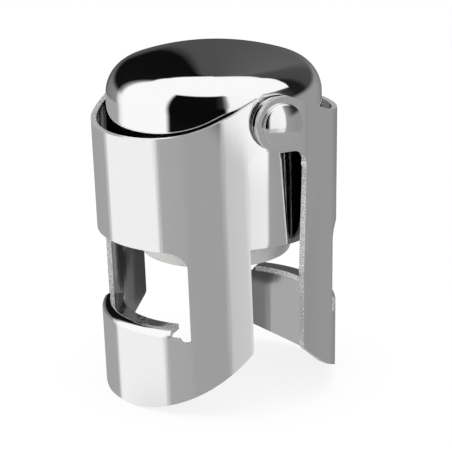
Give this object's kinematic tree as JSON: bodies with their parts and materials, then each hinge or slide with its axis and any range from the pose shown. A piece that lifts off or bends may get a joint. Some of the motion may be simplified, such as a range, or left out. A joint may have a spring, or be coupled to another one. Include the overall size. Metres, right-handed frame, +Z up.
{
  "type": "champagne stopper",
  "caption": "Chromed champagne stopper: a domed cap holding a sprung seal, with hinged half-round clamps whose inward lips grip under a bottle's collar.",
  "frame": {"origin": "on the ground under the middle of the whole stopper, as it stands on its two clamps", "axes": "+Z up through the middle of the cap; Y along the hinge line, the near rivet at -Y; the front clamp on the -X side, the rear clamp on the +X side"},
  "size_m": [0.0403, 0.0446, 0.057],
  "materials": {
    "cap": "mirror-bright chrome plating on drawn steel",
    "clamps": "mirror-bright chrome plating on stamped steel",
    "rivets": "mirror-bright chrome plating",
    "ear_washers": "bright chrome plating",
    "spacers": "plain steel, satin",
    "sleeve": "moulded white plastic, satin",
    "plunger": "moulded white plastic, satin",
    "retaining_ring": "moulded white plastic, satin",
    "seal": "pale grey rubber, satin",
    "seal_fixing": "stainless steel, satin",
    "spring": "drawn spring steel, satin"
  },
  "bodies": {
    "cap_body": {"dome_cap": "cap", "near_rivet": "rivets", "far_rivet": "rivets", "near_ear_washer": "ear_washers", "far_ear_washer": "ear_washers", "near_spacer": "spacers", "far_spacer": "spacers", "near_burr": "spacers", "far_burr": "spacers", "inner_sleeve": "sleeve", "retaining_ring": "retaining_ring", "spring_plate": "spring", "pressure_spring": "spring"},
    "front_clamp_body": {"front_clamp": "clamps"},
    "rear_clamp_body": {"rear_clamp": "clamps"},
    "plunger_body": {"plunger": "plunger", "seal": "seal", "seal_washer": "seal_fixing", "seal_screw": "seal_fixing"}
  },
  "joints": [
    {"name": "front_hinge", "type": "hinge", "parent": "cap_body", "child": "front_clamp_body", "pos_m": [0, 0, 0.04771], "axis": [0, 1, 0], "range_deg": [-2.8, 70]},
    {"name": "rear_hinge", "type": "hinge", "parent": "cap_body", "child": "rear_clamp_body", "pos_m": [0, 0, 0.04771], "axis": [0, -1, 0], "range_deg": [-4.2, 70]},
    {"name": "seal_slide", "type": "slide", "parent": "cap_body", "child": "plunger_body", "axis": [0, 0, 1], "range_m": [0, 0.0075], "stiffness_N_per_m": 2500, "springref_m": -0.004, "deforming": ["pressure_spring"]}
  ]
}
